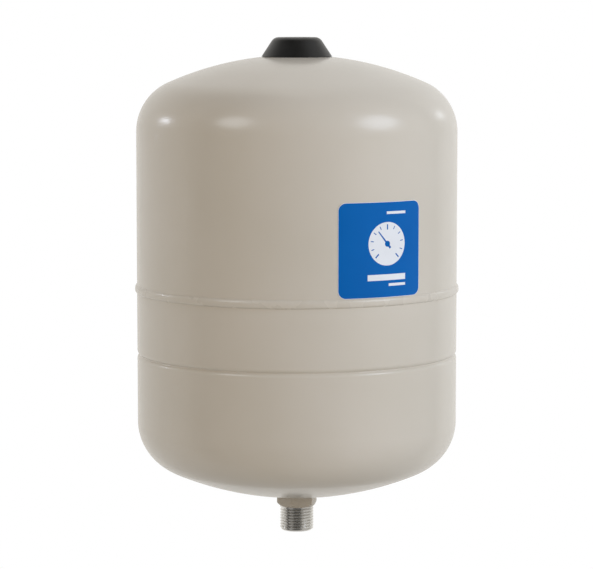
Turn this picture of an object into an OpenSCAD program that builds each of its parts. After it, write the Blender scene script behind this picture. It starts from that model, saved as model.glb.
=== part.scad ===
// Upright diaphragm pressure tank for a well or booster pump, about 8 litres.
// Two drawn steel shells are joined by a girth weld. A groove rolled into the lower shell
// holds a plastic liner, a rubber diaphragm and a steel clench ring. Water comes in at the
// threaded connection below, and the air charge is set at the valve under the cap on top.
// The origin is the centre of the connection's end face, and +Z is up.

/* [Shells] */
// Outside diameter of the two steel shells
body_d = 200; // [185:1:230]
// Sheet thickness of the shells
wall_t = 1.2; // [0.8:0.1:1.8]
// Straight wall between the tangent lines of the two heads
straight_len = 181; // [150:1:260]
// Outside radius of the knuckle between the wall and the crown of a head
knuckle_r = 33.3; // [28:0.1:38]
// Outside radius of the crown of each head
crown_r = 197.3; // [170:0.1:240]
// Diameter of the flat seat pressed into the middle of each head
seat_d = 28; // [27:1:34]

/* [Girth weld] */
// Height of the weld above the lower tangent line
weld_height = 83.4; // [70:0.1:100]
// Width of the weld bead on the wall
weld_w = 5.6; // [4.5:0.1:8]
// How far the weld bead stands proud of the wall
weld_proud = 1.3; // [0.8:0.1:1.8]
// Height of the step where the lower shell slips inside the upper one
joggle_len = 3; // [2:0.1:4]
// Length of the lower shell inside the upper one, above the step
tongue_len = 10; // [6:0.5:20]

/* [Clamping groove] */
// Height of the rolled groove above the lower tangent line
groove_height = 42.3; // [30:0.1:50]
// Depth of the groove
groove_depth = 1.35; // [1:0.05:1.8]
// Radius of the rounded shoulders above and below the groove
shoulder_r = 2.8; // [2.2:0.1:4]
// Radius at the bottom of the groove
valley_r = 0.6; // [0.4:0.1:1]

/* [Liner, diaphragm and clench ring] */
// Wall of the plastic liner on the water side
liner_t = 1.8; // [1.2:0.1:2.4]
// Wall of the rubber diaphragm
diaphragm_t = 2; // [1.4:0.1:2.6]
// Thickness of the diaphragm's rim, where it hooks over the liner
rim_t = 2.5; // [1.5:0.1:4]
// Sheet thickness of the clench ring
clench_t = 1.2; // [0.8:0.1:1.6]
// Height of the clamped band above the groove
clamp_above = 9; // [7:0.5:14]
// Height of the clamped band below the groove
clamp_below = 8; // [6:0.5:14]
// Clearance between pieces that are pressed together
fit_gap = 0.1; // [0.05:0.01:0.12]
// Clearance between pieces that rest loosely against each other
rest_gap = 0.3; // [0.2:0.05:0.4]

/* [Water connection] */
// Outside diameter of the connection's pipe thread
thread_d = 20.955; // [20:0.005:22]
// Length of the connection's thread
thread_len = 15.3; // [12:0.1:20]
// Chamfer at the end of the thread
thread_chamfer = 1.3; // [0.8:0.1:1.6]
// Diameter of the waterway through the connection
water_bore_d = 14; // [10:0.1:15]
// Width across the flats of the connection's hexagon
hex_af = 22.7; // [22:0.1:24]
// Height of the hexagon, from the thread to the shell
hex_h = 8.2; // [6:0.1:12]
// Height of the conical chamfer under the hexagon
hex_chamfer = 2.4; // [1:0.1:3]
// Turn of the hexagon about the tank's axis
hex_turn = 16; // [0:1:60]
// Diameter of the spigot that passes into the tank
spigot_d = 18; // [17:0.1:19]
// Diameter of the gasket and of the lock nut's flange
gasket_d = 29; // [26:0.5:32]
// Thickness of the gasket on the liner
gasket_t = 1.5; // [1:0.1:2.5]
// Thickness of the lock nut's flange
nut_flange_t = 1.2; // [0.8:0.1:2]
// Height of the lock nut's hexagon above its flange
nut_hex_h = 2.6; // [2:0.1:4]
// Width across the flats of the lock nut
nut_af = 24; // [22.5:0.1:25]

/* [Air valve] */
// Diameter of the bush's collar outside the shell
bush_collar_d = 24; // [20:0.5:26]
// Height of the bush's collar
bush_collar_h = 1.6; // [1:0.1:2]
// Diameter of the bush where it passes through the shell
bush_d = 18; // [15:0.5:19]
// Length of the bush below the shell
bush_below = 4; // [2:0.5:8]
// Diameter of the valve stem's shank in the bush
shank_d = 10; // [9:0.1:11]
// Length of the shank below the bush
shank_below = 5; // [3:0.5:10]
// Thickness of the washer under the valve stem's hexagon
washer_t = 0.7; // [0.5:0.1:1]
// Width across the flats of the valve stem's hexagon
stem_af = 14; // [12.5:0.1:15]
// Height of the valve stem's hexagon
stem_hex_h = 1.6; // [1.2:0.1:2]
// Diameter of the valve stem's cap thread
neck_d = 7.7; // [7.5:0.05:8]
// Height of the valve stem above its hexagon
neck_h = 4.6; // [4.2:0.1:5]
// Diameter of the core's chamber in the stem
core_bore_d = 5.3; // [5.2:0.05:5.6]
// Diameter of the air passage below the core
air_bore_d = 4; // [3.8:0.1:4.4]
// Length of the core's threaded barrel
barrel_len = 7; // [6:0.1:9]
// Travel of the valve pin when it is pressed
pin_travel = 1.2; // [0.8:0.1:1.4]
// Diameter of the valve pin
pin_d = 1; // [0.8:0.05:1.1]
// Diameter of the valve spring's wire
spring_wire_d = 0.3; // [0.2:0.02:0.34]
// Turns of the valve spring
spring_turns = 6; // [4:1:7]

/* [Valve cap] */
// Diameter of the cap's lower rim
cap_d = 43.9; // [40:0.1:50]
// Diameter of the cap's flat top, before its edge is rounded
cap_top_d = 28.3; // [26:0.1:32]
// Radius of the cap's top edge
cap_edge_r = 5.3; // [1:0.1:5.5]
// Wall of the cap
cap_wall = 2.2; // [1.5:0.1:2.5]
// Outside diameter of the threaded socket inside the cap
socket_d = 14.4; // [13.6:0.1:16]
// Number of ribs inside the cap
cap_ribs = 6; // [4:1:8]
// Thickness of the ribs inside the cap
cap_rib_t = 1.4; // [1:0.1:2]
// Section diameter of the cap's O-ring
o_ring_d = 1.6; // [1.4:0.1:1.8]

/* [Label] */
// Width of the label round the wall
label_w = 57.6; // [40:0.1:80]
// Height of the label
label_h = 57.2; // [40:0.1:80]
// Radius of the label's corners
label_corner_r = 5; // [2:0.5:8]
// Thickness of the label's film
label_t = 0.2; // [0.1:0.05:0.4]
// Angle from the front to the middle of the label, to the right
label_turn = 30.5; // [0:0.1:60]

/* [Hidden] */
$fn = 96;

// Length by which a cutting shape runs past the face it cuts
over = 1;
body_r = body_d / 2;

// Each sheet or layer of the lower half, as its inset from the shell's outside
liner_inset = wall_t + fit_gap;
diaphragm_inset = liner_inset + liner_t + fit_gap;
clench_inset = diaphragm_inset + diaphragm_t + fit_gap;

// Heads: the knuckle is centred on the tangent line, and the crown on the tank's axis
knuckle_x = body_r - knuckle_r;
function crown_drop(crown) = sqrt(pow(crown - knuckle_r, 2) - pow(knuckle_x, 2));
function crown_for(height) =
    (pow(height, 2) + pow(knuckle_x, 2) - pow(knuckle_r, 2)) / (2 * (height - knuckle_r));
function sagitta(radius, chord) = radius - sqrt(pow(radius, 2) - pow(chord / 2, 2));
head_h = crown_r - crown_drop(crown_r);
seat_h = head_h - sagitta(crown_r, seat_d);

// Heights, from the connection's end face up
seat_z = thread_len + hex_h;
lower_tangent_z = seat_z + seat_h;
upper_tangent_z = lower_tangent_z + straight_len;
top_seat_z = upper_tangent_z + seat_h;
groove_z = lower_tangent_z + groove_height;
weld_z = lower_tangent_z + weld_height;

// Girth joint: the step starts inside the bead's lower edge, and the upper shell ends above it
joggle_step = wall_t + fit_gap;
joggle_z = weld_z - joggle_len * 2 / 3;
upper_edge_z = joggle_z + joggle_len;
tongue_top_z = upper_edge_z + tongue_len;
weld_arc_r = (pow(weld_w / 2, 2) + pow(weld_proud, 2)) / (2 * weld_proud);

// Rolled groove: two shoulder arcs and a valley arc, tangent to each other
valley_x = body_r - groove_depth + valley_r;
shoulder_x = body_r - shoulder_r;
shoulder_rise = sqrt(pow(shoulder_r + valley_r, 2) - pow(valley_x - shoulder_x, 2));

// Clamped band
liner_top_z = groove_z + clamp_above;
rim_z = liner_top_z + fit_gap;
rim_top_z = rim_z + rim_t;
clamp_bottom_z = groove_z - clamp_below;
rim_r = body_r - wall_t - fit_gap;

// Water connection
thread_r = thread_d / 2;
water_bore_r = water_bore_d / 2;
spigot_r = spigot_d / 2;
gasket_z = seat_z + diaphragm_inset;
nut_z = gasket_z + gasket_t + fit_gap;
nut_hex_z = nut_z + nut_flange_t;
spigot_top_z = nut_hex_z + nut_hex_h;
thread_hole_r = spigot_r + fit_gap;

// The diaphragm rests on the lock nut, so its head is a little shallower than the shell's
diaphragm_head_h = lower_tangent_z - (spigot_top_z + rest_gap) + diaphragm_inset;
diaphragm_crown_r = crown_for(diaphragm_head_h);

// Air valve
bush_top_z = top_seat_z + bush_collar_h;
bush_bottom_z = top_seat_z - wall_t - bush_below;
stem_hex_z = bush_top_z + washer_t;
neck_z = stem_hex_z + stem_hex_h;
stem_top_z = neck_z + neck_h;
stem_bottom_z = bush_bottom_z - shank_below;
shank_r = shank_d / 2;
neck_r = neck_d / 2;

// Valve core, hung in the stem's chamber
core_recess = 1;
barrel_top_z = stem_top_z - core_recess;
barrel_bottom_z = barrel_top_z - barrel_len;
barrel_r = core_bore_d / 2 - fit_gap;
seal_h = 1.2;
seal_bottom_z = barrel_bottom_z - seal_h;
barrel_tail_r = 1.5;
barrel_tail_len = 3;
tail_bottom_z = barrel_bottom_z - barrel_tail_len;
pin_r = pin_d / 2;
pin_bore_r = pin_r + 0.2;
spring_seat_h = 1.6;
collar_t = 0.6;
collar_r = 1.3;
spring_chamber_r = 1.6;
spring_seat_z = barrel_bottom_z + spring_seat_h;
pin_top_z = stem_top_z - 0.4;
collar_z = barrel_top_z - collar_t - 0.3;
poppet_t = 0.8;
poppet_r = 1.5;
pin_seal_t = 0.7;
pin_seal_z = tail_bottom_z - fit_gap - pin_seal_t;
poppet_z = pin_seal_z - fit_gap - poppet_t;
spring_mean_r = (pin_r + spring_chamber_r) / 2;

// Valve cap: its rim stands just off the crown, and its socket runs down to the O-ring
cap_r = cap_d / 2;
cap_top_r = cap_top_d / 2;
cap_rim_z = upper_tangent_z + head_h - sagitta(crown_r, cap_d) + rest_gap;
cap_ceiling_z = stem_top_z + 0.8;
cap_top_z = cap_ceiling_z + cap_wall;
cap_taper = (cap_r - cap_top_r) / (cap_top_z - cap_rim_z);
cap_slant = sqrt(1 + pow(cap_taper, 2));
socket_r = socket_d / 2;
socket_bore_r = neck_r + fit_gap;
o_ring_r = o_ring_d / 2;
o_ring_mean_r = socket_bore_r + o_ring_r + fit_gap;
o_ring_z = neck_z + fit_gap + o_ring_r;
socket_z = neck_z + o_ring_r;
socket_recess_z = o_ring_z + o_ring_r + fit_gap;
socket_recess_r = o_ring_mean_r + o_ring_r + fit_gap;

// Label, just above the weld
label_gap = 0.05;
label_r = body_r + label_gap;
label_z = weld_z + weld_w / 2 + label_gap;
label_chord = 2 * label_r * sin(label_w / 2 / label_r * 180 / PI);

cream = [0.79, 0.76, 0.70];
steel = [0.72, 0.72, 0.70];
brass = [0.78, 0.66, 0.38];
rubber = [0.10, 0.10, 0.11];

// Half section of a head above its tangent line, inset from the outside of the shell.
// The crown and the knuckle meet on the line through both their centres.
module head_section(inset, crown) {
    drop = crown_drop(crown);
    meet = [knuckle_x, 0] + [knuckle_x, drop] * crown / (crown - knuckle_r);
    intersection() {
        translate([0, -drop]) circle(crown - inset);
        polygon([[0, 0], [knuckle_x, 0], meet, [0, meet.y]]);
    }
    intersection() {
        translate([knuckle_x, 0]) circle(knuckle_r - inset);
        polygon([[knuckle_x, 0], [meet.x + crown, 0], [meet.x + crown, meet.y], meet]);
    }
}

// What the rolled groove takes out of a half section, inset from the outside of the shell
module groove_section(inset) {
    translate([valley_x, groove_z]) circle(valley_r + inset);
    if (inset < shoulder_r)
        difference() {
            polygon([
                [shoulder_x, groove_z - shoulder_rise], [valley_x, groove_z],
                [shoulder_x, groove_z + shoulder_rise],
                [body_r + over, groove_z + shoulder_rise],
                [body_r + over, groove_z - shoulder_rise]
            ]);
            for (side = [-1, 1])
                translate([shoulder_x, groove_z + side * shoulder_rise])
                    circle(shoulder_r - inset);
        }
}

// Half section of the lower half's whole inside, up to top_z, inset from the outside of the shell
module bowl_section(inset, top_z, crown = crown_r) {
    difference() {
        translate([0, lower_tangent_z]) {
            mirror([0, 1]) head_section(inset, crown);
            square([body_r - inset, top_z - lower_tangent_z]);
        }
        groove_section(inset);
        square([seat_d, seat_z + inset]);
    }
}

// Half section of a layer that follows the lower shell, between two insets
module layer_section(inset, thickness, top_z, crown = crown_r) {
    difference() {
        bowl_section(inset, top_z, crown);
        bowl_section(inset + thickness, top_z + over, crown);
    }
}

// Half section of the upper half's whole inside, down to bottom_z
module dome_section(inset, bottom_z) {
    difference() {
        union() {
            translate([0, upper_tangent_z]) head_section(inset, crown_r);
            translate([0, bottom_z]) square([body_r - inset, upper_tangent_z - bottom_z]);
        }
        translate([0, top_seat_z - inset]) square(seat_d);
    }
}

// Half section of a ring, from one radius to another
module ring_section(inner_r, outer_r, z, h) {
    translate([inner_r, z]) square([outer_r - inner_r, h]);
}

module hexagon(af, z, h) {
    translate([0, 0, z]) cylinder(d = af / cos(30), h = h, $fn = 6);
}

module upper_shell() {
    color(cream)
        rotate_extrude()
            difference() {
                dome_section(0, upper_edge_z);
                dome_section(wall_t, upper_edge_z - over);
                ring_section(0, bush_d / 2 + fit_gap, top_seat_z - wall_t - over, wall_t + 2 * over);
            }
}

module lower_shell() {
    tongue_r = body_r - joggle_step;
    color(cream) {
        rotate_extrude()
            difference() {
                layer_section(0, wall_t, joggle_z);
                ring_section(0, thread_hole_r, seat_z - over, wall_t + 2 * over);
            }
        rotate_extrude()
            polygon([
                [body_r, joggle_z - over], [body_r, joggle_z],
                [tongue_r, upper_edge_z], [tongue_r, tongue_top_z],
                [tongue_r - wall_t, tongue_top_z], [tongue_r - wall_t, upper_edge_z],
                [body_r - wall_t, joggle_z], [body_r - wall_t, joggle_z - over]
            ]);
    }
}

// The bead and its root, which fills the notch between the step and the upper shell's edge
module girth_weld() {
    root_z = joggle_z + joggle_len * wall_t / joggle_step;
    color(cream) {
        rotate_extrude()
            intersection() {
                translate([body_r + weld_proud - weld_arc_r, weld_z]) circle(weld_arc_r);
                ring_section(body_r, body_r + weld_proud + over, weld_z - weld_w, 2 * weld_w);
            }
        rotate_extrude()
            polygon([
                [body_r, joggle_z], [body_r, upper_edge_z],
                [body_r - wall_t, upper_edge_z], [body_r - wall_t, root_z]
            ]);
    }
}

module liner() {
    color([0.86, 0.87, 0.84])
        rotate_extrude()
            difference() {
                layer_section(liner_inset, liner_t, liner_top_z);
                ring_section(0, thread_hole_r, seat_z, liner_inset + liner_t + over);
            }
}

// A closed cup whose thick rim hooks over the liner's edge
module diaphragm() {
    inner_r = body_r - diaphragm_inset - diaphragm_t;
    color(rubber) {
        rotate_extrude()
            layer_section(diaphragm_inset, diaphragm_t, rim_z + rim_t / 2, diaphragm_crown_r);
        rotate_extrude() ring_section(inner_r, rim_r, rim_z, rim_t);
    }
}

// A grooved steel band with a lip over the diaphragm's rim
module clench_ring() {
    inner_r = body_r - clench_inset - clench_t;
    lip_z = rim_top_z + fit_gap;
    color(steel) {
        rotate_extrude()
            intersection() {
                layer_section(clench_inset, clench_t, lip_z + clench_t / 2);
                ring_section(0, body_r, clamp_bottom_z, rim_top_z + clench_t - clamp_bottom_z);
            }
        rotate_extrude() ring_section(inner_r, rim_r, lip_z, clench_t);
    }
}

// Threaded end, hexagon and spigot in one turned piece
module connection_nipple() {
    chamfer_r = hex_af / 2 / cos(30) - hex_chamfer;
    color(steel)
        difference() {
            union() {
                rotate_extrude()
                    polygon([
                        [0, 0], [thread_r - thread_chamfer, 0], [thread_r, thread_chamfer],
                        [thread_r, thread_len], [spigot_r, thread_len],
                        [spigot_r, spigot_top_z], [0, spigot_top_z]
                    ]);
                intersection() {
                    rotate([0, 0, hex_turn]) hexagon(hex_af, thread_len, hex_h);
                    translate([0, 0, thread_len])
                        cylinder(r1 = chamfer_r, r2 = chamfer_r + hex_h, h = hex_h);
                }
            }
            translate([0, 0, -over]) cylinder(r = water_bore_r, h = spigot_top_z + 2 * over);
        }
}

module liner_gasket() {
    color(rubber)
        rotate_extrude()
            ring_section(thread_hole_r, gasket_d / 2, gasket_z, gasket_t);
}

module liner_lock_nut() {
    color(steel)
        difference() {
            union() {
                translate([0, 0, nut_z]) cylinder(d = gasket_d, h = nut_flange_t);
                hexagon(nut_af, nut_hex_z, nut_hex_h);
            }
            translate([0, 0, nut_z - over])
                cylinder(r = thread_hole_r, h = nut_flange_t + nut_hex_h + 2 * over);
        }
}

// Steel bush welded into the top head, with a collar on the outside
module valve_bush() {
    color(cream)
        rotate_extrude() {
            ring_section(shank_r + fit_gap, bush_collar_d / 2, top_seat_z, bush_collar_h);
            ring_section(shank_r + fit_gap, bush_d / 2, bush_bottom_z, top_seat_z - bush_bottom_z);
        }
}

module stem_washer() {
    color(rubber)
        rotate_extrude()
            ring_section(shank_r + fit_gap, stem_af / 2, bush_top_z, washer_t);
}

// Shank, hexagon and cap thread, bored for the core, with a cone where the core seals
module valve_stem() {
    color(brass)
        difference() {
            union() {
                translate([0, 0, stem_bottom_z])
                    cylinder(r = shank_r, h = stem_hex_z - stem_bottom_z);
                hexagon(stem_af, stem_hex_z, stem_hex_h);
                translate([0, 0, neck_z]) cylinder(r = neck_r, h = neck_h);
            }
            rotate_extrude()
                polygon([
                    [0, stem_top_z + over], [core_bore_d / 2, stem_top_z + over],
                    [core_bore_d / 2, barrel_bottom_z], [air_bore_d / 2, seal_bottom_z],
                    [air_bore_d / 2, stem_bottom_z - over], [0, stem_bottom_z - over]
                ]);
        }
}

// Threaded barrel with a spring chamber above and a narrow tail below
module core_barrel() {
    color(brass)
        rotate_extrude()
            polygon([
                [spring_chamber_r, barrel_top_z], [barrel_r, barrel_top_z],
                [barrel_r, barrel_bottom_z], [barrel_tail_r - fit_gap, barrel_bottom_z],
                [barrel_tail_r - fit_gap, tail_bottom_z], [pin_bore_r, tail_bottom_z],
                [pin_bore_r, spring_seat_z], [spring_chamber_r, spring_seat_z]
            ]);
}

// Conical ring on the barrel's tail, which seals in the stem's cone
module core_seal() {
    lean = (core_bore_d - air_bore_d) / 2;
    color([0.9, 0.9, 0.88])
        rotate_extrude()
            polygon([
                [barrel_tail_r, barrel_bottom_z - fit_gap],
                [barrel_r - lean * fit_gap / seal_h, barrel_bottom_z - fit_gap],
                [barrel_r - lean, seal_bottom_z], [barrel_tail_r, seal_bottom_z]
            ]);
}

// Pin with the spring's collar near its top and the poppet at its foot
module core_pin() {
    color(brass)
        rotate_extrude()
            polygon([
                [0, poppet_z], [poppet_r, poppet_z], [poppet_r, poppet_z + poppet_t],
                [pin_r, poppet_z + poppet_t], [pin_r, collar_z], [collar_r, collar_z],
                [collar_r, collar_z + collar_t], [pin_r, collar_z + collar_t],
                [pin_r, pin_top_z], [0, pin_top_z]
            ]);
}

module core_pin_seal() {
    color(rubber)
        rotate_extrude()
            ring_section(pin_r + fit_gap / 2, poppet_r, pin_seal_z, pin_seal_t);
}

// Coil swept along a helix: rings of points round the wire, joined ring to ring
module coil(mean_r, wire_r, bottom_z, length, turns, sides = 6, steps = 14) {
    last = turns * steps;
    points = [
        for (i = [0:last], k = [0:sides - 1])
            let (
                turn = 360 * i / steps,
                round = 360 * k / sides,
                r = mean_r + wire_r * cos(round)
            )
            [r * cos(turn), r * sin(turn), bottom_z + length * i / last + wire_r * sin(round)]
    ];
    sides_faces = [
        for (i = [0:last - 1], k = [0:sides - 1])
            let (a = i * sides + k, b = i * sides + (k + 1) % sides)
            [a, a + sides, b + sides, b]
    ];
    ends = [
        [for (k = [0:sides - 1]) k],
        [for (k = [sides - 1:-1:0]) last * sides + k]
    ];
    polyhedron(points, concat(sides_faces, ends));
}

module core_spring() {
    wire_r = spring_wire_d / 2;
    bottom_z = spring_seat_z + wire_r + fit_gap;
    color(steel)
        coil(spring_mean_r, wire_r, bottom_z, collar_z - wire_r - fit_gap - bottom_z, spring_turns);
}

// Half section of the space inside the cap, between its conical wall and its ceiling
module cap_space_section() {
    inner_rim_r = cap_r - cap_wall * cap_slant;
    polygon([
        [0, cap_rim_z - over], [inner_rim_r + cap_taper * over, cap_rim_z - over],
        [inner_rim_r - cap_taper * (cap_ceiling_z - cap_rim_z), cap_ceiling_z],
        [0, cap_ceiling_z]
    ]);
}

// Conical moulded cap, with a rounded top edge, a threaded socket and ribs inside
module valve_cap() {
    // The edge arc touches both the top and the cone
    edge_x = cap_top_r + cap_taper * cap_edge_r - cap_edge_r * cap_slant;
    edge_z = cap_top_z - cap_edge_r;
    touch = [edge_x + cap_edge_r / cap_slant, edge_z + cap_edge_r * cap_taper / cap_slant];
    far = cap_r * 2;
    color([0.10, 0.10, 0.10])
        union() {
            rotate_extrude() {
                difference() {
                    union() {
                        polygon([
                            [0, cap_rim_z], [cap_r, cap_rim_z], touch,
                            [edge_x, edge_z], [edge_x, cap_top_z], [0, cap_top_z]
                        ]);
                        intersection() {
                            translate([edge_x, edge_z]) circle(cap_edge_r);
                            polygon([
                                [edge_x, edge_z], [edge_x + far / cap_slant, edge_z + far * cap_taper / cap_slant],
                                [edge_x + far, edge_z + far], [edge_x, edge_z + far]
                            ]);
                        }
                    }
                    cap_space_section();
                }
                difference() {
                    ring_section(socket_bore_r, socket_r, socket_z, cap_ceiling_z - socket_z);
                    ring_section(0, socket_recess_r, socket_z - over, socket_recess_z - socket_z + over);
                }
            }
            intersection() {
                for (i = [0:cap_ribs - 1])
                    rotate([0, 0, 360 * i / cap_ribs])
                        translate([(socket_r + socket_bore_r) / 2, -cap_rib_t / 2, socket_recess_z])
                            cube([cap_r, cap_rib_t, cap_top_z - cap_wall / 2 - socket_recess_z]);
                rotate_extrude()
                    polygon([
                        [0, cap_rim_z], [cap_r - cap_wall / 2 * cap_slant, cap_rim_z],
                        [cap_top_r - cap_wall / 2 * cap_slant, cap_top_z], [0, cap_top_z]
                    ]);
            }
        }
}

module cap_o_ring() {
    color(rubber)
        rotate_extrude()
            translate([o_ring_mean_r, o_ring_z]) circle(o_ring_r);
}

// Square plate with rounded corners, centred on the origin
module rounded_plate(w, h, corner_r) {
    square([w, h - 2 * corner_r], center = true);
    square([w - 2 * corner_r, h], center = true);
    for (x = [-1, 1], y = [-1, 1])
        translate([x * (w / 2 - corner_r), y * (h / 2 - corner_r)]) circle(corner_r);
}

// Printed film that follows the wall
module label() {
    color([0.06, 0.36, 0.66])
        intersection() {
            rotate_extrude()
                ring_section(label_r, label_r + label_t, label_z - over, label_h + 2 * over);
            rotate([0, 0, label_turn])
                translate([0, 0, label_z + label_h / 2])
                    rotate([90, 0, 0])
                        linear_extrude(body_d)
                            rounded_plate(label_chord, label_h, label_corner_r);
        }
}

upper_shell();
lower_shell();
girth_weld();
liner();
diaphragm();
clench_ring();
connection_nipple();
liner_gasket();
liner_lock_nut();
valve_bush();
stem_washer();
valve_stem();
core_barrel();
core_seal();
core_pin();
core_pin_seal();
core_spring();
valve_cap();
cap_o_ring();
label();
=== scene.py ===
import bmesh
import bpy
import math
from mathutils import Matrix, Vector, noise


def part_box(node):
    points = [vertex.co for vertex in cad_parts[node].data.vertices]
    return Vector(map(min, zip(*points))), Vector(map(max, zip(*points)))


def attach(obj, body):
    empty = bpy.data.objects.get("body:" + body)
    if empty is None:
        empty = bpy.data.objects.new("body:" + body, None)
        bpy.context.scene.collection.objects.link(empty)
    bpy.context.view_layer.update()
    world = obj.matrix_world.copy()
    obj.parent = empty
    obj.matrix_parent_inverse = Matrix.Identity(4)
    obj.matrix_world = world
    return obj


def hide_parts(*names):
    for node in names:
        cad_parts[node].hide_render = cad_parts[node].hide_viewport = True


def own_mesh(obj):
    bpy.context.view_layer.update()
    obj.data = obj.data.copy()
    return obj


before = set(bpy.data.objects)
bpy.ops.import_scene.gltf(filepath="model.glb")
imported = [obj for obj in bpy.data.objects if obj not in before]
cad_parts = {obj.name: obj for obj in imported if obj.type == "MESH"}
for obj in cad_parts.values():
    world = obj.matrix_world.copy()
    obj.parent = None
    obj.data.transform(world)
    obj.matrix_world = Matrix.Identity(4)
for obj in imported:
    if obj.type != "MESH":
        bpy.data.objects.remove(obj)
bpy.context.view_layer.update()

# Sizes, in metres, as in the part's source
BODY_R = 0.100
WALL_T = 0.0012
KNUCKLE_R = 0.0333
CROWN_R = 0.1973
SEAT_R = 0.014
THREAD_LEN = 0.0153
HEX_H = 0.0082
STRAIGHT_LEN = 0.181
WELD_HEIGHT = 0.0834
WELD_W = 0.0056
WELD_PROUD = 0.0013
JOGGLE_LEN = 0.003
JOGGLE_STEP = WALL_T + 0.0001
TONGUE_LEN = 0.010
GROOVE_HEIGHT = 0.0423
GROOVE_DEPTH = 0.00135
SHOULDER_R = 0.0028
VALLEY_R = 0.0006
THREAD_R = 0.0104775
THREAD_PITCH = 0.0018143
THREAD_DEPTH = 0.00116
THREAD_CHAMFER = 0.0013
BORE_R = 0.007
HEX_AF = 0.0227
HEX_CHAMFER = 0.0024
HEX_TURN = math.radians(16)
SPIGOT_R = 0.009
SPIGOT_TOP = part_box("connection_nipple")[1][2]
SPIGOT_HOLE_R = SPIGOT_R + 0.0001
BUSH_HOLE_R = 0.0091
SPRING_MEAN_R = 0.00105
SPRING_WIRE_R = 0.00015
SPRING_TURNS = 6
LABEL_W = 0.0576
LABEL_H = 0.0572
LABEL_CORNER_R = 0.005
LABEL_T = 0.0002
INK_T = 0.00003
LABEL_EDGE = 0.00025
LABEL_R = BODY_R + 0.00005
LABEL_TURN = math.radians(30.5)

# Derived heights
KNUCKLE_X = BODY_R - KNUCKLE_R
CROWN_DROP = math.sqrt((CROWN_R - KNUCKLE_R) ** 2 - KNUCKLE_X ** 2)
SEAT_H = math.sqrt(CROWN_R ** 2 - SEAT_R ** 2) - CROWN_DROP
SEAT_Z = THREAD_LEN + HEX_H
LOWER_TANGENT_Z = SEAT_Z + SEAT_H
UPPER_TANGENT_Z = LOWER_TANGENT_Z + STRAIGHT_LEN
TOP_SEAT_Z = UPPER_TANGENT_Z + SEAT_H
GROOVE_Z = LOWER_TANGENT_Z + GROOVE_HEIGHT
WELD_Z = LOWER_TANGENT_Z + WELD_HEIGHT
JOGGLE_Z = WELD_Z - JOGGLE_LEN * 2 / 3
UPPER_EDGE_Z = JOGGLE_Z + JOGGLE_LEN
TONGUE_TOP_Z = UPPER_EDGE_Z + TONGUE_LEN
LABEL_Z = WELD_Z + WELD_W / 2 + 0.00005
LABEL_MID_Z = LABEL_Z + LABEL_H / 2

# The photograph's frame and viewpoint
IMAGE_W = 593
SENSOR = 36
CAMERA_AT = Vector((0.0, -1.700, 0.3354))
CAMERA_AIM = Vector((-0.0002, 0.0, 0.1555))
CAMERA_LENS = 165.54

SEGMENTS = 288


# Camera

def aim(obj, target):
    obj.rotation_euler = (target - obj.location).to_track_quat("-Z", "Y").to_euler()


def make_camera():
    data = bpy.data.cameras.new("camera")
    data.sensor_width = SENSOR
    data.lens = CAMERA_LENS
    data.clip_start = 0.01
    data.clip_end = 50
    camera = bpy.data.objects.new("camera", data)
    bpy.context.scene.collection.objects.link(camera)
    camera.location = CAMERA_AT
    aim(camera, CAMERA_AIM)
    bpy.context.scene.camera = camera


make_camera()


# Materials

def linear(*rgb):
    """Linear colour with alpha from 0 to 255 display values."""
    out = [c / 255 / 12.92 if c / 255 <= 0.04045 else ((c / 255 + 0.055) / 1.055) ** 2.4 for c in rgb]
    return (*out, 1.0)


class Nodes:
    """Short names for the nodes of one material."""

    def __init__(self, name):
        self.material = bpy.data.materials.new(name)
        self.material.use_nodes = True
        self.tree = self.material.node_tree
        self.shader = self.tree.nodes["Principled BSDF"]
        self.coords = self.tree.nodes.new("ShaderNodeTexCoord").outputs["Object"]

    def link(self, source, target):
        self.tree.links.new(source, target)

    def noise(self, scale, detail=2.0, roughness=0.5, stretch=None):
        node = self.tree.nodes.new("ShaderNodeTexNoise")
        node.inputs["Scale"].default_value = scale
        node.inputs["Detail"].default_value = detail
        node.inputs["Roughness"].default_value = roughness
        source = self.coords
        if stretch:
            mapping = self.tree.nodes.new("ShaderNodeMapping")
            mapping.inputs["Scale"].default_value = stretch
            self.link(source, mapping.inputs["Vector"])
            source = mapping.outputs["Vector"]
        self.link(source, node.inputs["Vector"])
        return node.outputs["Fac"]

    def spread(self, source, low, high):
        """Value from 0.3 to 0.7, as noise gives, spread from low to high."""
        node = self.tree.nodes.new("ShaderNodeMapRange")
        node.inputs["From Min"].default_value = 0.3
        node.inputs["From Max"].default_value = 0.7
        node.inputs["To Min"].default_value = low
        node.inputs["To Max"].default_value = high
        self.link(source, node.inputs["Value"])
        return node.outputs["Result"]

    def mix(self, source, first, second):
        node = self.tree.nodes.new("ShaderNodeMix")
        node.data_type = "RGBA"
        node.inputs["A"].default_value = first
        node.inputs["B"].default_value = second
        self.link(source, node.inputs["Factor"])
        return node.outputs["Result"]

    def bump(self, source, depth, normal=None):
        node = self.tree.nodes.new("ShaderNodeBump")
        node.inputs["Distance"].default_value = depth
        self.link(source, node.inputs["Height"])
        if normal:
            self.link(normal, node.inputs["Normal"])
        return node.outputs["Normal"]

    def put(self, **sockets):
        """Sets or links the shader's sockets, with an underscore for each space."""
        for name, value in sockets.items():
            socket = self.shader.inputs[name.replace("_", " ")]
            if isinstance(value, bpy.types.NodeSocket):
                self.link(value, socket)
            else:
                socket.default_value = value


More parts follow.
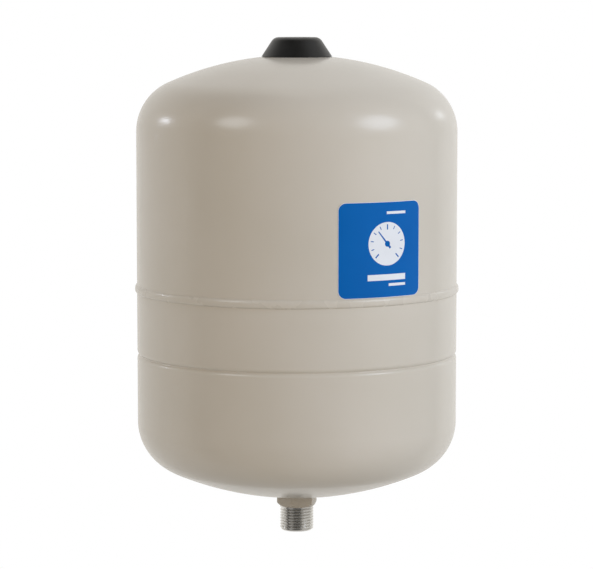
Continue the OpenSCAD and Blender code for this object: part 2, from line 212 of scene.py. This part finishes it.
def paint(name, low, high, low_roughness, high_roughness):
    """Sprayed gloss paint with a faint orange peel."""
    n = Nodes(name)
    tone = n.spread(n.noise(14, 3), 0, 1)
    peel = n.bump(n.noise(420, 2), 0.000012)
    n.put(
        Base_Color=n.mix(tone, linear(*low), linear(*high)),
        Roughness=n.spread(n.noise(60, 3), low_roughness, high_roughness),
        Normal=n.bump(n.noise(1400, 1), 0.000003, peel),
    )
    return n.material


def metal(name, low, high, roughness, grain, depth):
    """Machined metal, with turning marks round the axis."""
    n = Nodes(name)
    marks = n.noise(grain, 3, 0.6, stretch=(0.04, 0.04, 1.0))
    n.put(
        Base_Color=n.mix(n.spread(n.noise(90, 3), 0, 1), linear(*low), linear(*high)),
        Metallic=1.0,
        Roughness=n.spread(marks, roughness * 0.75, roughness * 1.25),
        Normal=n.bump(marks, depth),
    )
    return n.material


def moulded(name, low, high, roughness, grain, depth, specular=0.5):
    """Plastic or rubber with a fine moulded texture."""
    n = Nodes(name)
    n.put(
        Base_Color=n.mix(n.spread(n.noise(45, 4), 0, 1), linear(*low), linear(*high)),
        Roughness=n.spread(n.noise(220, 3), roughness * 0.88, roughness * 1.12),
        Specular_IOR_Level=specular,
        Normal=n.bump(n.noise(grain, 3, 0.6), depth),
    )
    return n.material


def printed(name, low, high, roughness, specular):
    """Smooth printed film."""
    n = Nodes(name)
    n.put(
        Base_Color=n.mix(n.spread(n.noise(30, 2), 0, 1), linear(*low), linear(*high)),
        Roughness=n.spread(n.noise(90, 2), roughness * 0.92, roughness * 1.08),
        Specular_IOR_Level=specular,
    )
    return n.material


CREAM_LOW = (199, 191, 176)
CREAM_HIGH = (203, 195, 181)
CREAM = paint("cream_paint", CREAM_LOW, CREAM_HIGH, 0.22, 0.26)
WELD_CREAM = paint("cream_paint_weld", CREAM_LOW, CREAM_HIGH, 0.22, 0.30)
# Same cream paint, made darker for the hexagon: painted shade, standing in for the shade under the tank's lower head
SHADED_FITTING_CREAM = paint("cream_paint_fitting_painted_shade", (184, 174, 157), (189, 179, 162), 0.24, 0.28)
STAINLESS = metal("stainless", (216, 214, 211), (232, 231, 228), 0.23, 2600, 0.000002)
STEEL = metal("steel", (150, 150, 150), (178, 178, 176), 0.36, 900, 0.000006)
BRASS = metal("brass", (176, 142, 78), (202, 170, 104), 0.26, 2200, 0.000004)
RUBBER = moulded("black_rubber", (26, 26, 27), (36, 36, 36), 0.62, 900, 0.00002)
LINER = moulded("liner_plastic", (212, 214, 206), (222, 223, 216), 0.4, 500, 0.00001)
SEAL = moulded("seal_plastic", (224, 224, 218), (232, 232, 227), 0.32, 900, 0.000005)
BLACK = moulded("black_plastic", (18, 17, 15), (23, 22, 20), 0.38, 1500, 0.000012)
INK = printed("label_ink", (0, 92, 167), (2, 97, 172), 0.22, 0.13)
PRINT = printed("label_print", (222, 224, 226), (230, 232, 234), 0.34, 0.4)


# Mesh helpers

def finish_mesh(name, bm, material, sharp=32, body="tank"):
    """Object from a bmesh, smooth but for edges sharper than the given angle."""
    bmesh.ops.recalc_face_normals(bm, faces=bm.faces)
    mesh = bpy.data.meshes.new(name)
    bm.to_mesh(mesh)
    bm.free()
    mesh.polygons.foreach_set("use_smooth", [True] * len(mesh.polygons))
    mesh.set_sharp_from_angle(angle=math.radians(sharp))
    mesh.materials.append(material)
    obj = bpy.data.objects.new(name, mesh)
    bpy.context.scene.collection.objects.link(obj)
    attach(obj, body)
    return obj


def grid_faces(bm, rows, close_rows=True):
    """Quads between rows of vertices that each close on themselves."""
    pairs = list(zip(rows, rows[1:]))
    if close_rows:
        pairs.append((rows[-1], rows[0]))
    for a, b in pairs:
        for j in range(len(a)):
            k = (j + 1) % len(a)
            bm.faces.new((a[j], a[k], b[k], b[j]))


def lathe(profile, segments=SEGMENTS, shift=None):
    """Closed ring from a closed profile of (radius, height); shift moves a point (radius, height, angle)."""
    bm = bmesh.new()
    rows = []
    for r, z in profile:
        row = []
        for j in range(segments):
            a = 2 * math.pi * j / segments
            rr, zz = shift(r, z, a) if shift else (r, z)
            row.append(bm.verts.new((rr * math.cos(a), rr * math.sin(a), zz)))
        rows.append(row)
    grid_faces(bm, rows)
    return bm


def arc(cx, cz, r, start, end, steps):
    """Points of an arc, with angles in degrees from the +radius direction."""
    turns = [math.radians(start + (end - start) * i / steps) for i in range(steps + 1)]
    return [(cx + r * math.cos(a), cz + r * math.sin(a)) for a in turns]


def head_profile(inset, from_r):
    """A head above its tangent line, from the radius given near the axis out to the wall."""
    meet = math.degrees(math.atan2(CROWN_DROP, KNUCKLE_X))
    crown = CROWN_R - inset
    top = math.degrees(math.acos(from_r / crown))
    points = arc(0, -CROWN_DROP, crown, top, meet, 34)
    points += arc(KNUCKLE_X, 0, KNUCKLE_R - inset, meet, 0, 30)[1:]
    return points


def groove_profile(inset):
    """The rolled groove, from below to above."""
    valley_x = BODY_R - GROOVE_DEPTH + VALLEY_R
    shoulder_x = BODY_R - SHOULDER_R
    rise = math.sqrt((SHOULDER_R + VALLEY_R) ** 2 - (valley_x - shoulder_x) ** 2)
    lean = math.degrees(math.atan2(rise, valley_x - shoulder_x))
    points = arc(shoulder_x, GROOVE_Z - rise, SHOULDER_R - inset, 0, lean, 7)
    points += arc(valley_x, GROOVE_Z, VALLEY_R + inset, 180 + lean, 180 - lean, 8)[1:]
    points += arc(shoulder_x, GROOVE_Z + rise, SHOULDER_R - inset, -lean, 0, 7)[1:]
    return points


def wall_points(r, low, high, steps):
    return [(r, low + (high - low) * i / steps) for i in range(1, steps)]


def wobble(r, z, a):
    """Slight unevenness of the drawn sheet."""
    at = Vector((math.cos(a) * 2.2, math.sin(a) * 2.2, z * 14))
    return r + 0.00004 * noise.noise(at) * (r / BODY_R), z


def upper_shell():
    seat_z = TOP_SEAT_Z
    outer = [(BUSH_HOLE_R, seat_z), (SEAT_R - 0.0008, seat_z)]
    outer += [(r, UPPER_TANGENT_Z + z) for r, z in head_profile(0, SEAT_R + 0.0006)]
    outer += reversed(wall_points(BODY_R, UPPER_EDGE_Z, UPPER_TANGENT_Z, 12))
    outer.append((BODY_R, UPPER_EDGE_Z))
    inner = [(BODY_R - WALL_T, UPPER_EDGE_Z)]
    inner += wall_points(BODY_R - WALL_T, UPPER_EDGE_Z, UPPER_TANGENT_Z, 6)
    inner += reversed([(r, UPPER_TANGENT_Z + z) for r, z in head_profile(WALL_T, SEAT_R)])
    inner.append((BUSH_HOLE_R, seat_z - WALL_T))
    obj = finish_mesh("upper_shell_sheet", lathe(outer + inner, shift=wobble), CREAM)
    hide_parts("upper_shell")


def lower_shell():
    tongue_r = BODY_R - JOGGLE_STEP
    outer = [(SPIGOT_HOLE_R, SEAT_Z), (SEAT_R - 0.0008, SEAT_Z)]
    outer += [(r, LOWER_TANGENT_Z - z) for r, z in head_profile(0, SEAT_R + 0.0006)]
    groove = groove_profile(0)
    outer += wall_points(BODY_R, LOWER_TANGENT_Z, groove[0][1], 4)
    outer += groove
    outer += wall_points(BODY_R, groove[-1][1], JOGGLE_Z, 4)
    outer += [(BODY_R, JOGGLE_Z), (tongue_r, UPPER_EDGE_Z), (tongue_r, TONGUE_TOP_Z)]
    inner_r = BODY_R - WALL_T
    inner_groove = groove_profile(WALL_T)
    inner = [(inner_r, LOWER_TANGENT_Z)] + wall_points(inner_r, LOWER_TANGENT_Z, inner_groove[0][1], 4)
    inner += inner_groove
    inner += [(inner_r, JOGGLE_Z), (tongue_r - WALL_T, UPPER_EDGE_Z), (tongue_r - WALL_T, TONGUE_TOP_Z)]
    inner = [(SPIGOT_HOLE_R, SEAT_Z + WALL_T)] + [
        (r, LOWER_TANGENT_Z - z) for r, z in head_profile(WALL_T, SEAT_R)
    ] + inner[1:]
    obj = finish_mesh("lower_shell_sheet", lathe(outer + inner[::-1], shift=wobble), CREAM)
    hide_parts("lower_shell")


def weld_bead():
    """The bead, with the small lumps that the torch leaves, under the paint."""
    steps = 16
    sink = 0.0002
    outer = []
    for i in range(steps + 1):
        s = -math.cos(math.pi * i / steps)
        rise = (1 - abs(s) ** 3.2) ** 0.68 if s < 0 else (1 - s ** 2.5) ** 0.8
        half = WELD_W / 2 - 0.00025 if s < 0 else WELD_W / 2
        outer.append((BODY_R - sink + (WELD_PROUD + sink - 0.00012) * rise, WELD_Z + s * half))

    def lumps(r, z, a):
        rise = max(0.0, (r - BODY_R) / WELD_PROUD)
        across = z * 260
        fine = noise.noise(Vector((math.cos(a) * 34, math.sin(a) * 34, across)))
        broad = noise.noise(Vector((math.cos(a) * 9, math.sin(a) * 9, 5.0)))
        lift = 0.00013 * fine + 0.00010 * broad
        return r + min(0.00006, lift) * rise, z + 0.00016 * broad * rise

    inner = [(BODY_R - WALL_T * 0.9, WELD_Z + WELD_W / 2 * 0.3), (BODY_R - WALL_T * 0.9, WELD_Z - WELD_W / 2 * 0.3)]
    obj = finish_mesh("weld_bead", lathe(outer + inner, 720, lumps), WELD_CREAM, 50)
    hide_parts("girth_weld")


upper_shell()
lower_shell()
weld_bead()


# Water connection

def thread_height(z, a):
    """Depth of the thread's groove at a point, from 0 on the crest to 1 at the root."""
    phase = (z / THREAD_PITCH - a / (2 * math.pi)) % 1.0
    across = abs(2 * phase - 1)
    flank = min(1.0, max(0.0, (across - 0.30) / 0.60))
    return flank * flank * (3 - 2 * flank) * 0.55 + flank * 0.45


def connection_thread():
    around = 180
    per_turn = 20
    rows_n = int(THREAD_LEN / THREAD_PITCH * per_turn)
    bm = bmesh.new()
    rows = []
    bore_chamfer = 0.0006

    def ring(r, z):
        rows.append([
            bm.verts.new((r * math.cos(2 * math.pi * j / around), r * math.sin(2 * math.pi * j / around), z))
            for j in range(around)
        ])

    ring(BORE_R, SPIGOT_TOP)
    ring(BORE_R, bore_chamfer)
    ring(BORE_R + bore_chamfer, 0)
    for i in range(rows_n + 1):
        z = THREAD_LEN * i / rows_n
        row = []
        for j in range(around):
            a = 2 * math.pi * j / around
            runout = min(1.0, max(0.0, (THREAD_LEN - z) / 0.0012))
            r = THREAD_R - THREAD_DEPTH * thread_height(z, a) * runout
            cone = THREAD_R - THREAD_CHAMFER * max(0.0, 1 - z / THREAD_CHAMFER) ** 1.25
            r = min(r, cone)
            row.append(bm.verts.new((r * math.cos(a), r * math.sin(a), z)))
        rows.append(row)
    ring(SPIGOT_R, THREAD_LEN + 0.0002)
    ring(SPIGOT_R, SPIGOT_TOP)
    grid_faces(bm, rows)
    obj = finish_mesh("connection_thread", bm, STAINLESS, 60)
    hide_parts("connection_nipple")


def connection_hexagon():
    """Painted hexagon, its corners cut by a cone below and its edges slightly rounded."""
    around = 192
    base_r = HEX_AF / 2 / math.cos(math.radians(30)) - HEX_CHAMFER
    rows = [[] for _ in range(9)]
    bm = bmesh.new()
    for j in range(around):
        a = 2 * math.pi * j / around
        side = (a - HEX_TURN + math.pi / 6) % (math.pi / 3) - math.pi / 6
        flat_turn = (a - HEX_TURN) % (math.pi / 3) - math.pi / 6
        r = HEX_AF / 2 / math.cos(flat_turn)
        corner = HEX_AF / 2 / math.cos(math.pi / 6)
        r -= 0.00012 * max(0.0, 1 - (corner - r) / 0.0003) ** 2
        cut_z = THREAD_LEN + max(0.0, r - base_r)
        c, s = math.cos(a), math.sin(a)
        mid = (base_r + r) / 2 if r > base_r else r
        points = [
            (SPIGOT_R + 0.00005, THREAD_LEN), (base_r - 0.0002, THREAD_LEN), (base_r + 0.00005, THREAD_LEN + 0.00018),
            (mid, (THREAD_LEN + cut_z) / 2 + 0.00005), (r - 0.00012, cut_z - 0.00006), (r, cut_z + 0.00022),
            (r, (cut_z + SEAT_Z) / 2), (r, SEAT_Z), (SPIGOT_R + 0.00005, SEAT_Z)
        ]
        for row, (pr, pz) in zip(rows, points):
            row.append(bm.verts.new((pr * c, pr * s, pz)))
    grid_faces(bm, rows)
    # The hexagon takes the darker cream paint, whose colour holds painted shade
    obj = finish_mesh("connection_hexagon", bm, SHADED_FITTING_CREAM, 30)
    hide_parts("connection_nipple")


connection_thread()
connection_hexagon()


# Label

def wrap(u, v, r):
    """Point on the wall, from the distance round it and the height, both from the label's middle."""
    a = LABEL_TURN + u / LABEL_R
    return (r * math.sin(a), -r * math.cos(a), LABEL_MID_Z + v)


def plate(bm, left, right, r, thick):
    """Thin solid on the wall between two lines of points of equal number."""
    inner, outer = [], []
    widest = max(abs(ru - lu) for (lu, _), (ru, _) in zip(left, right))
    parts = max(2, math.ceil(widest / 0.0015))
    for (lu, lv), (ru, rv) in zip(left, right):
        line = [(lu + (ru - lu) * i / parts, lv + (rv - lv) * i / parts) for i in range(parts + 1)]
        inner.append([bm.verts.new(wrap(u, v, r)) for u, v in line])
        outer.append([bm.verts.new(wrap(u, v, r + thick)) for u, v in line])
    n = len(inner[0]) - 1
    for i in range(len(inner) - 1):
        for k in range(n):
            bm.faces.new((outer[i][k], outer[i][k + 1], outer[i + 1][k + 1], outer[i + 1][k]))
            bm.faces.new((inner[i][k], inner[i + 1][k], inner[i + 1][k + 1], inner[i][k + 1]))
        bm.faces.new((inner[i][0], outer[i][0], outer[i + 1][0], inner[i + 1][0]))
        bm.faces.new((inner[i][n], inner[i + 1][n], outer[i + 1][n], outer[i][n]))
    for i in (0, -1):
        for k in range(n):
            bm.faces.new((inner[i][k], inner[i][k + 1], outer[i][k + 1], outer[i][k]))


def rounded_sides(w, h, corner):
    """Left and right edges of a rounded rectangle, from its foot to its top."""
    left, right = [], []
    for side, turns in ((-1, range(270, 361, 5)), (1, range(0, 91, 5))):
        for turn in turns:
            a = math.radians(turn)
            if side > 0 and turn == 0 and h - 2 * corner < 1e-6:
                continue
            u = w / 2 - corner + corner * math.cos(a)
            v = side * (h / 2 - corner) + corner * math.sin(a)
            right.append((u, v))
            left.append((-u, v))
    return left, right


def label_film():
    """Blue film, with a thin pale edge round it."""
    bm = bmesh.new()
    plate(bm, *rounded_sides(LABEL_W, LABEL_H, LABEL_CORNER_R), LABEL_R, LABEL_T)
    obj = finish_mesh("label_sheet", bm, PRINT, 40)
    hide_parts("label")
    bm = bmesh.new()
    sides = rounded_sides(LABEL_W - 2 * LABEL_EDGE, LABEL_H - 2 * LABEL_EDGE, LABEL_CORNER_R - LABEL_EDGE)
    plate(bm, *sides, LABEL_R + LABEL_T, INK_T)
    obj = finish_mesh("label_ground", bm, INK, 40)


def label_print():
    """A plain gauge with its marks, and three plain bars."""
    dial_u, dial_v, dial_r = 0.0035, 0.0035, 0.0130
    right_u = 0.0170

    def disc(bm, radius, r):
        sides = rounded_sides(2 * radius, 2 * radius, radius)
        plate(bm, *[[(u + dial_u, v + dial_v) for u, v in side] for side in sides], r, INK_T)

    def bar(bm, left, v, width, height, r):
        low, high = v - height / 2, v + height / 2
        plate(bm, [(left, low), (left, high)], [(left + width, low), (left + width, high)], r, INK_T)

    def mark(bm, from_r, to_r, turn, from_w, to_w, r):
        c, s = math.cos(math.radians(turn)), math.sin(math.radians(turn))
        steps = 8
        left, right = [], []
        for i in range(steps + 1):
            along = from_r + (to_r - from_r) * i / steps
            half = (from_w + (to_w - from_w) * i / steps) / 2
            left.append((dial_u + along * c - half * s, dial_v + along * s + half * c))
            right.append((dial_u + along * c + half * s, dial_v + along * s - half * c))
        plate(bm, left, right, r, INK_T)

    r = LABEL_R + LABEL_T + INK_T
    bm = bmesh.new()
    disc(bm, dial_r, r)
    bar(bm, right_u - 0.0140, 0.0220, 0.0140, 0.0016, r)
    bar(bm, right_u - 0.0270, -0.0165, 0.0270, 0.0036, r)
    bar(bm, right_u - 0.0125, -0.0210, 0.0125, 0.0016, r)
    finish_mesh("label_print", bm, PRINT, 40)

    r += INK_T
    bm = bmesh.new()
    for i in range(11):
        long = i % 5 == 0
        mark(bm, 0.0085 if long else 0.0096, 0.0116, -45 + 27 * i, 0.0008 if long else 0.0005, 0.0008 if long else 0.0005, r)
    mark(bm, -0.0034, 0.0098, 130, 0.0014, 0.0006, r)
    disc(bm, 0.0018, r)
    finish_mesh("label_marks", bm, INK, 40)


label_film()
label_print()


# Valve spring

def valve_spring():
    """Coil that the pin's collar squeezes by the pin's travel."""
    low, high = (corner[2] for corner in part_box("core_spring"))
    rise = high - low - 2 * SPRING_WIRE_R
    per_turn = 32
    around = 12
    steps = SPRING_TURNS * per_turn
    bm = bmesh.new()
    rows = []
    for i in range(steps + 1):
        a = 2 * math.pi * i / per_turn
        mid_z = low + SPRING_WIRE_R + rise * i / steps
        row = []
        for j in range(around):
            b = 2 * math.pi * j / around
            r = SPRING_MEAN_R + SPRING_WIRE_R * math.cos(b)
            row.append(bm.verts.new((r * math.cos(a), r * math.sin(a), mid_z + SPRING_WIRE_R * math.sin(b))))
        rows.append(row)
    grid_faces(bm, rows, close_rows=False)
    bm.faces.new(rows[0])
    bm.faces.new(rows[-1])
    obj = finish_mesh("valve_spring", bm, STEEL, 60)
    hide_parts("core_spring")
    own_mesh(obj)


valve_spring()


# Materials of the nodes that keep their CAD shape

FINISHES = {
    "liner": LINER,
    "diaphragm": RUBBER,
    "clench_ring": STEEL,
    "liner_gasket": RUBBER,
    "liner_lock_nut": STAINLESS,
    "valve_bush": CREAM,
    "stem_washer": RUBBER,
    "valve_stem": BRASS,
    "core_barrel": BRASS,
    "core_seal": SEAL,
    "core_pin": BRASS,
    "core_pin_seal": RUBBER,
    "valve_cap": BLACK,
    "cap_o_ring": RUBBER,
}
for node, material in FINISHES.items():
    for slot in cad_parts[node].material_slots:
        slot.material = material


# Studio

FLOOR_Z = -0.16
# Floor colour close under the tank is darker: painted shade, which also dims the light the floor throws back onto the
# tank's underside
FLOOR_NEAR_PAINTED_SHADE = (130, 126, 119)
FLOOR_FAR = (236, 234, 229)

# Lamps: azimuth from the camera to its right, elevation, distance, width, height, watts, colour
LAMPS = {
    "lamp_front_right": (62, 22, 1.7, 0.86, 0.60, 13.4, (0.62, 0.765, 1.0)),
    "lamp_rear_left": (-112, 6, 1.6, 0.24, 0.36, 5.2, (0.72, 0.83, 1.0)),
    "lamp_rear_right": (130, 6, 1.6, 0.24, 0.36, 0.8, (1, 1, 1)),
}

# Small lamps that only glossy surfaces show, given in the same way
GLINTS = {
    "glint_front_right": (62.4, 27.5, 1.7, 0.86, 0.70, 6.6, (0.74, 0.84, 1.0)),
    "glint_front_left": (-47.3, 29.5, 2.0, 0.80, 0.70, 6, (0.88, 0.94, 1.0)),
    "glint_rear_left": (-109, 17.7, 1.6, 0.20, 0.18, 1.45, (0.82, 0.88, 1.0)),
    "glint_rear_right": (128.4, 17.5, 1.6, 0.28, 0.22, 0.42, (0.85, 0.92, 1.0)),
}

# Soft light from the studio's ceiling and walls; the walls' by azimuth from the camera to its right
CEILING = (0.56, 0.62, 0.715)
WALL_TONE = (1.15, 1.0, 0.84)
WALLS = (
    (-180, 0.91), (-90, 0.255), (-60, 0.35), (-30, 0.66), (0, 0.85), (30, 0.93), (60, 0.59), (90, 0.36),
    (120, 0.49), (180, 0.91),
)

# What glossy surfaces see round them, by the same azimuth
MIRRORED_TONE = (1.0, 0.98, 0.94)
MIRRORED = (
    (-180, 0.95), (-120, 0.88), (-86, 0.65), (-77, 0.08), (-64, 0.08), (-58, 0.35), (-30, 0.32),
    (-22, 0.10), (24, 0.10), (52, 0.68), (108, 0.72), (114, 0.40), (119, 0.40), (125, 0.95), (180, 0.95),
)
MIRRORED_ABOVE = (
    (-180, 1.15), (-150, 0.95), (-115, 0.10), (-40, 0.08), (40, 0.22), (80, 0.55), (110, 0.50),
    (150, 0.90), (180, 1.15),
)
MIRRORED_BELOW = (0.66, 0.64, 0.61)


def card(name, azimuth, elevation, distance, width, height, watts, colour, glint):
    """Elliptical area lamp on a sphere round the tank, seen by glossy surfaces alone or by the rest alone."""
    data = bpy.data.lights.new(name, "AREA")
    data.shape = "ELLIPSE"
    data.size = width
    data.size_y = height
    data.energy = watts
    data.color = colour
    lamp = bpy.data.objects.new(name, data)
    bpy.context.scene.collection.objects.link(lamp)
    a, e = math.radians(azimuth), math.radians(elevation)
    target = Vector((0, 0, 0.17))
    lamp.location = target + distance * Vector((math.sin(a) * math.cos(e), -math.cos(a) * math.cos(e), math.sin(e)))
    aim(lamp, target)
    lamp.visible_glossy = glint
    lamp.visible_diffuse = not glint


for lamp_name, values in LAMPS.items():
    card(lamp_name, *values, False)
for lamp_name, values in GLINTS.items():
    card(lamp_name, *values, True)


class Maths:
    """Short names for the value nodes of a node tree."""

    def __init__(self, tree):
        self.tree = tree

    def node(self, kind, **inputs):
        node = self.tree.nodes.new(kind)
        for name, value in inputs.items():
            self.set(node.inputs[name.replace("_", " ")], value)
        return node

    def set(self, socket, value):
        if isinstance(value, bpy.types.NodeSocket):
            self.tree.links.new(value, socket)
        else:
            socket.default_value = value

    def value(self, operation, *values):
        node = self.tree.nodes.new("ShaderNodeMath")
        node.operation = operation
        for socket, value in zip(node.inputs, values):
            self.set(socket, value)
        return node.outputs[0]

    def vector(self, operation, **inputs):
        node = self.tree.nodes.new("ShaderNodeVectorMath")
        node.operation = operation
        for index, value in inputs.items():
            socket = node.inputs["Scale"] if index == "scale" else node.inputs["ab".index(index)]
            self.set(socket, value)
        return node.outputs["Value" if operation in ("DOT_PRODUCT", "LENGTH") else "Vector"]

    def blend(self, factor, first, second):
        node = self.tree.nodes.new("ShaderNodeMix")
        node.data_type = "RGBA"
        for name, value in (("Factor", factor), ("A", first), ("B", second)):
            self.set(node.inputs[name], value)
        return node.outputs["Result"]


def make_floor():
    """Floor that shows the tank's shadow near it, with painted shade in its colour close under the tank, and is plain
    white farther out.
    """
    bm = bmesh.new()
    bmesh.ops.create_grid(bm, x_segments=1, y_segments=1, size=8)
    mesh = bpy.data.meshes.new("floor")
    bm.to_mesh(mesh)
    bm.free()
    floor = bpy.data.objects.new("floor", mesh)
    floor.location = (0, 0, FLOOR_Z)
    floor.visible_glossy = False
    bpy.context.scene.collection.objects.link(floor)
    n = Nodes("floor")
    m = Maths(n.tree)
    path = m.node("ShaderNodeLightPath")
    away = m.vector("LENGTH", a=n.coords)
    # Painted shade: the floor's colour goes from dark close under the tank to pale farther out
    tone = m.node("ShaderNodeMapRange", Value=away, From_Min=0.10, From_Max=0.32)
    n.put(Base_Color=n.mix(tone.outputs["Result"], linear(*FLOOR_NEAR_PAINTED_SHADE), linear(*FLOOR_FAR)), Roughness=0.85)
    share = m.node("ShaderNodeMapRange", Value=away, From_Min=0.15, From_Max=0.5, To_Min=0.7, To_Max=1.0)
    glow = m.node("ShaderNodeEmission", Color=(1, 1, 1, 1), Strength=1.0)
    mix = n.tree.nodes.new("ShaderNodeMixShader")
    m.set(mix.inputs["Fac"], m.value("MULTIPLY", path.outputs["Is Camera Ray"], share.outputs["Result"]))
    n.link(n.shader.outputs[0], mix.inputs[1])
    n.link(glow.outputs[0], mix.inputs[2])
    n.link(mix.outputs[0], n.tree.nodes["Material Output"].inputs["Surface"])
    mesh.materials.append(n.material)


make_floor()


def make_world():
    """White for the camera, a ring of light and dark for glossy surfaces, and soft light for the rest."""
    world = bpy.data.worlds.new("studio")
    bpy.context.scene.world = world
    world.use_nodes = True
    world.cycles.sampling_method = "NONE"
    m = Maths(world.node_tree)
    path = m.node("ShaderNodeLightPath")
    way = m.node("ShaderNodeTexCoord").outputs["Generated"]
    parts = m.node("ShaderNodeSeparateXYZ", Vector=way)
    azimuth = m.value("ARCTAN2", parts.outputs["X"], m.value("MULTIPLY", parts.outputs["Y"], -1.0))
    turn = m.value("ADD", m.value("DIVIDE", azimuth, 2 * math.pi), 0.5)

    def ring(steps):
        node = m.node("ShaderNodeValToRGB", Fac=turn)
        stops = node.color_ramp.elements
        for angle, colour in steps[1:-1]:
            stops.new(angle / 360 + 0.5).color = (*colour, 1)
        stops[0].color = (*steps[0][1], 1)
        stops[-1].color = (*steps[-1][1], 1)
        return node.outputs["Color"]

    rise = m.node("ShaderNodeMapRange", Value=parts.outputs["Z"], From_Min=0.5, From_Max=0.9)
    walls = ring([(angle, [light * tone for tone in WALL_TONE]) for angle, light in WALLS])
    soft = m.blend(rise.outputs["Result"], walls, (*CEILING, 1))
    mirrored = ring([(angle, [light * tone for tone in MIRRORED_TONE]) for angle, light in MIRRORED])
    mirrored_above = ring([(angle, [light * tone for tone in MIRRORED_TONE]) for angle, light in MIRRORED_ABOVE])
    fall = m.node("ShaderNodeMapRange", Value=parts.outputs["Z"], From_Min=-0.5, From_Max=-0.8)
    mirrored = m.blend(fall.outputs["Result"], mirrored, (*MIRRORED_BELOW, 1))
    mirrored = m.blend(rise.outputs["Result"], mirrored, mirrored_above)
    light = m.blend(path.outputs["Is Glossy Ray"], soft, mirrored)
    seen = m.value("MAXIMUM", path.outputs["Is Camera Ray"], path.outputs["Is Transmission Ray"])
    back = world.node_tree.nodes["Background"]
    m.set(back.inputs["Color"], m.blend(seen, light, (1, 1, 1, 1)))
    back.inputs["Strength"].default_value = 1.0


make_world()

bpy.context.scene.view_settings.view_transform = "Standard"
